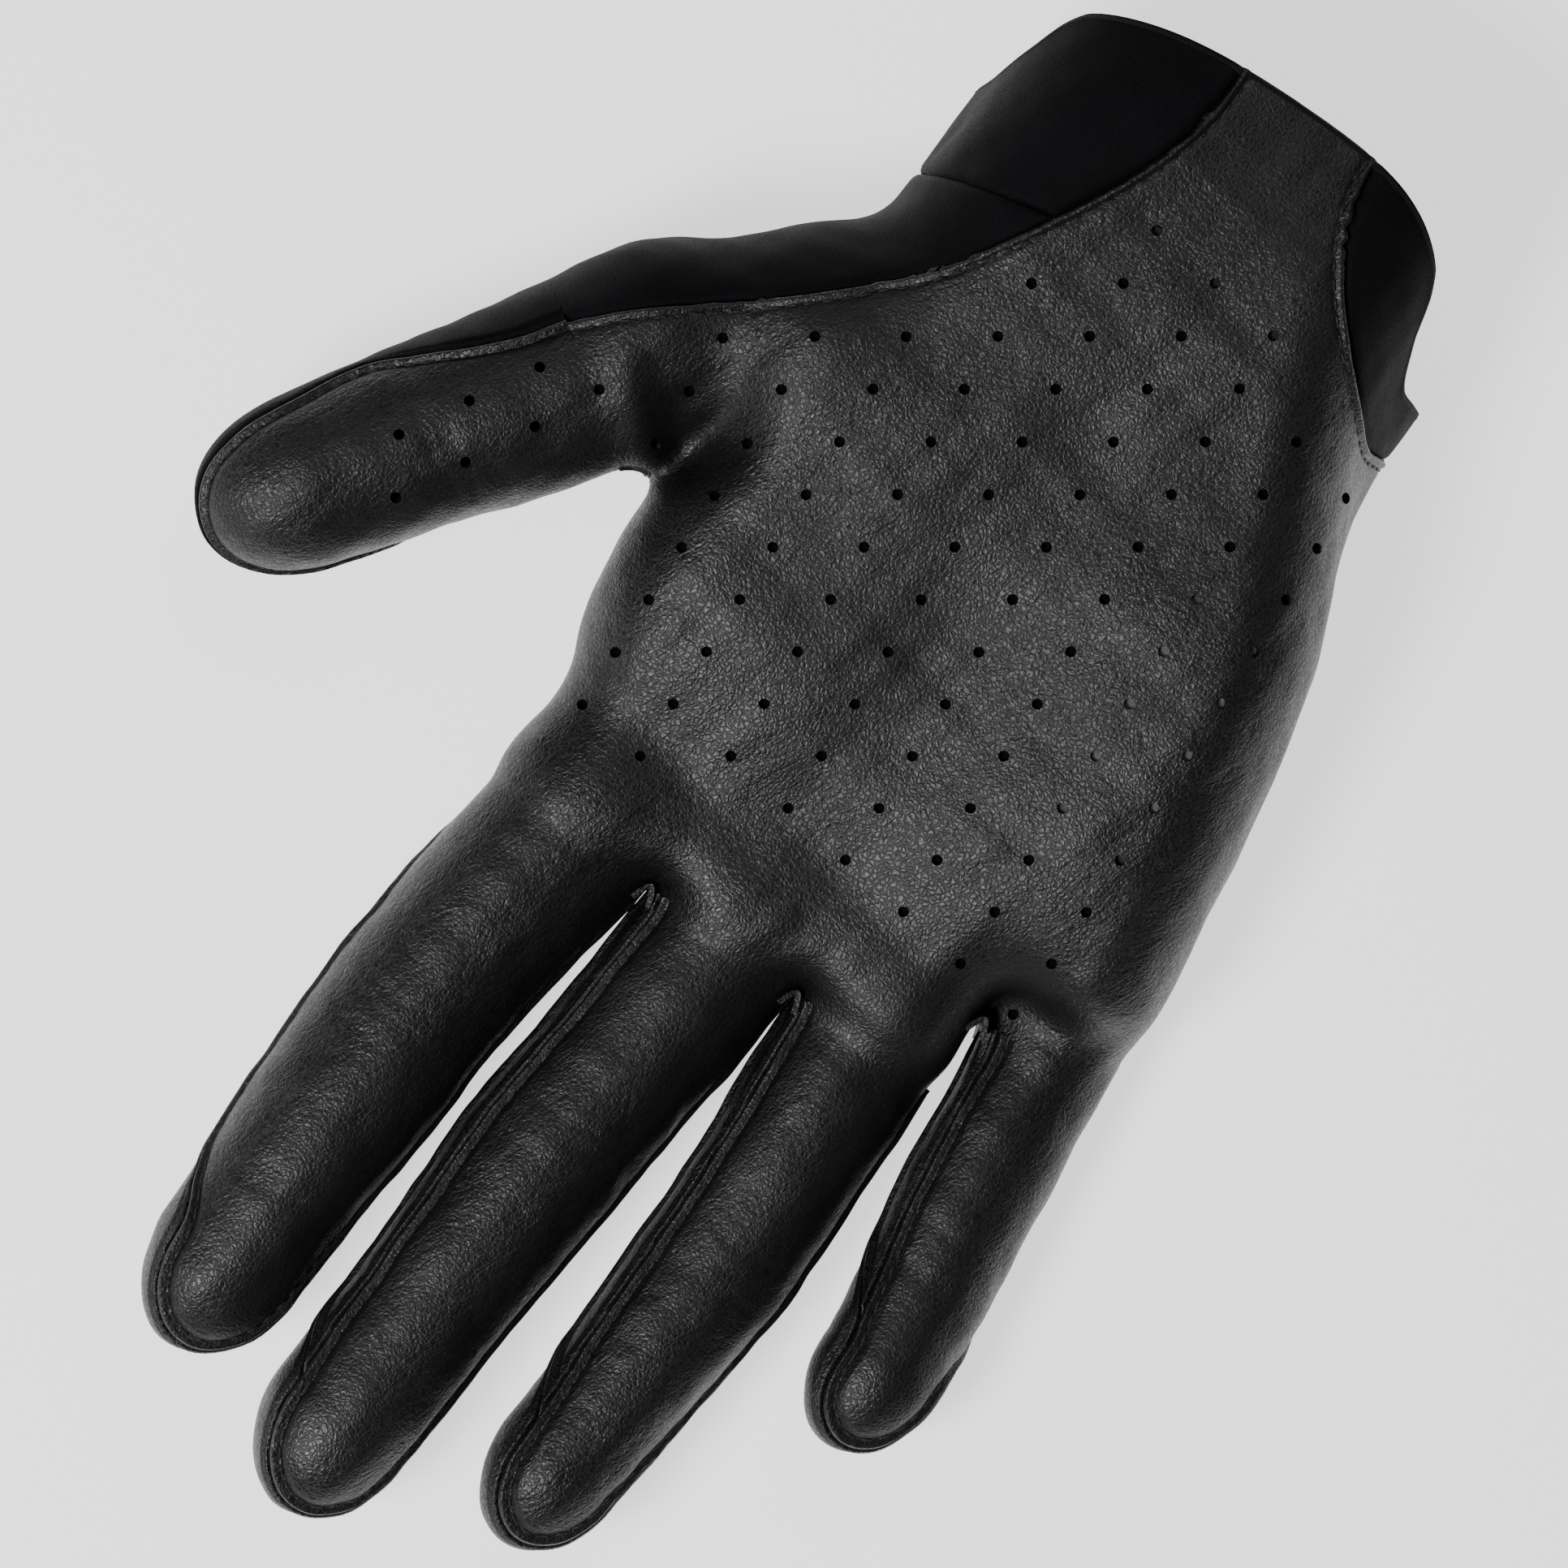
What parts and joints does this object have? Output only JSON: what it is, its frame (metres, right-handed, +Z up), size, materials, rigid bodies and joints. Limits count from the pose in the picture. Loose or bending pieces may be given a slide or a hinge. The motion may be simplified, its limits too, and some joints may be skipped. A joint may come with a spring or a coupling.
{
  "type": "golf glove",
  "caption": "Right-hand golf glove, palm up: leather palm and fingers, stretch panels at the thumb and cuff, and a peel-open tab on the back of the wrist.",
  "frame": {"origin": "centre of the footprint, on the surface that the glove lies on", "axes": "+Y from the cuff to the fingertips, +X towards the thumb, +Z up out of the palm"},
  "size_m": [0.1426, 0.212, 0.0424],
  "materials": {
    "leather": "matte to satin, fine grain, dyed black",
    "stretch_fabric": "smooth two-way stretch knit with a fine diagonal rib",
    "edge_tape": "woven tape",
    "elastic": "ribbed elastic",
    "label": "woven, blank",
    "hook_tape": "moulded hooks",
    "loop_tape": "brushed loops"
  },
  "bodies": {
    "hand": {"back_panel": "leather", "cuff_little_side": "stretch_fabric", "cuff_thumb_side": "stretch_fabric", "hem_tape": "edge_tape", "loop_patch": "loop_tape", "palm_front": "leather", "size_label": "label", "slit_binding": "edge_tape", "tab_base": "leather", "thumb_side_panel": "stretch_fabric", "web_index_middle": "leather", "web_middle_ring": "leather", "web_ring_little": "leather", "wrist_elastic": "elastic"},
    "index_proximal": {"index_proximal_back": "leather", "index_proximal_fork_inner": "leather", "index_proximal_front": "leather"},
    "index_distal": {"index_distal_back": "leather", "index_distal_fork_inner": "leather", "index_distal_front": "leather"},
    "middle_proximal": {"middle_proximal_back": "leather", "middle_proximal_fork_inner": "leather", "middle_proximal_fork_outer": "leather", "middle_proximal_front": "leather"},
    "middle_distal": {"middle_distal_back": "leather", "middle_distal_fork_inner": "leather", "middle_distal_fork_outer": "leather", "middle_distal_front": "leather"},
    "ring_proximal": {"ring_proximal_back": "leather", "ring_proximal_fork_inner": "leather", "ring_proximal_fork_outer": "leather", "ring_proximal_front": "leather"},
    "ring_distal": {"ring_distal_back": "leather", "ring_distal_fork_inner": "leather", "ring_distal_fork_outer": "leather", "ring_distal_front": "leather"},
    "little_proximal": {"little_proximal_back": "leather", "little_proximal_fork_outer": "leather", "little_proximal_front": "leather"},
    "little_distal": {"little_distal_back": "leather", "little_distal_fork_outer": "leather", "little_distal_front": "leather"},
    "thumb_proximal": {"thumb_proximal_back": "stretch_fabric", "thumb_proximal_front": "leather"},
    "thumb_distal": {"thumb_distal_back": "stretch_fabric", "thumb_distal_front": "leather"},
    "tab": {"closure_tab": "leather", "hook_patch": "hook_tape"}
  },
  "joints": [
    {"name": "index_knuckle_bend", "type": "hinge", "parent": "hand", "child": "index_proximal", "pos_m": [0.00769, 0.02008, 0.02234], "axis": [1, 0, 0], "range_deg": [-5, 80]},
    {"name": "index_middle_bend", "type": "hinge", "parent": "index_proximal", "child": "index_distal", "pos_m": [0.01069, 0.04808, 0.02222], "axis": [1, 0, 0], "range_deg": [0, 90]},
    {"name": "middle_knuckle_bend", "type": "hinge", "parent": "hand", "child": "middle_proximal", "pos_m": [-0.01591, 0.02008, 0.02099], "axis": [1, 0, 0], "range_deg": [-5, 80]},
    {"name": "middle_middle_bend", "type": "hinge", "parent": "middle_proximal", "child": "middle_distal", "pos_m": [-0.01371, 0.04808, 0.02126], "axis": [1, 0, 0], "range_deg": [0, 90]},
    {"name": "ring_knuckle_bend", "type": "hinge", "parent": "hand", "child": "ring_proximal", "pos_m": [-0.03761, 0.02008, 0.01964], "axis": [1, 0, 0], "range_deg": [-5, 80]},
    {"name": "ring_middle_bend", "type": "hinge", "parent": "ring_proximal", "child": "ring_distal", "pos_m": [-0.03931, 0.04808, 0.0197], "axis": [1, 0, 0], "range_deg": [0, 90]},
    {"name": "little_knuckle_bend", "type": "hinge", "parent": "hand", "child": "little_proximal", "pos_m": [-0.05781, 0.00908, 0.01685], "axis": [1, 0, 0], "range_deg": [-5, 80]},
    {"name": "little_middle_bend", "type": "hinge", "parent": "little_proximal", "child": "little_distal", "pos_m": [-0.06151, 0.03508, 0.0185], "axis": [1, 0, 0], "range_deg": [0, 90]},
    {"name": "thumb_base_bend", "type": "hinge", "parent": "hand", "child": "thumb_proximal", "pos_m": [0.04089, -0.02662, 0.03182], "axis": [0.8387, -0.5446, 0], "range_deg": [-5, 45]},
    {"name": "thumb_middle_bend", "type": "hinge", "parent": "thumb_proximal", "child": "thumb_distal", "pos_m": [0.04988, -0.01278, 0.03182], "axis": [0.8387, -0.5446, 0], "range_deg": [0, 60]},
    {"name": "tab_peel", "type": "hinge", "parent": "hand", "child": "tab", "pos_m": [0.00669, -0.07942, 0.00048], "axis": [0, -1, 0], "range_deg": [0, 150]}
  ]
}
